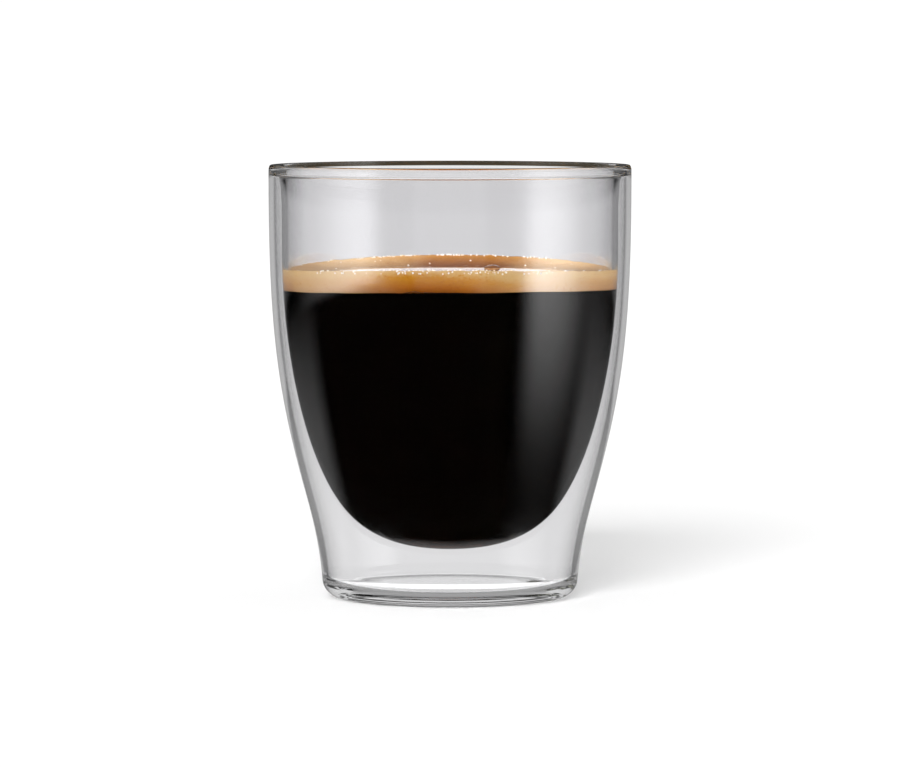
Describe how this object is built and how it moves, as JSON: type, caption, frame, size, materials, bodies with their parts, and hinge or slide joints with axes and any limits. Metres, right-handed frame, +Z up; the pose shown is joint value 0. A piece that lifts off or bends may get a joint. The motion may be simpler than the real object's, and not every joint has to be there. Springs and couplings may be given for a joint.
{
  "type": "double espresso",
  "caption": "Double espresso with a layer of crema in a clear double-walled glass tumbler with a narrow rounded foot, standing on its flat foot ring.",
  "frame": {"origin": "centre of the foot, on the surface the glass stands on", "axes": "+Z up along the glass's axis, -Y towards the side that the picture shows, +X to that side's right"},
  "size_m": [0.06, 0.06, 0.0716],
  "materials": {
    "glass": "clear, polished",
    "vent_plug": "satin",
    "coffee": "wet, nearly black",
    "crema": "fine foam, wet sheen"
  },
  "bodies": {
    "root": {"glass": "glass", "vent_plug": "vent_plug", "coffee": "coffee", "crema": "crema"}
  },
  "joints": []
}
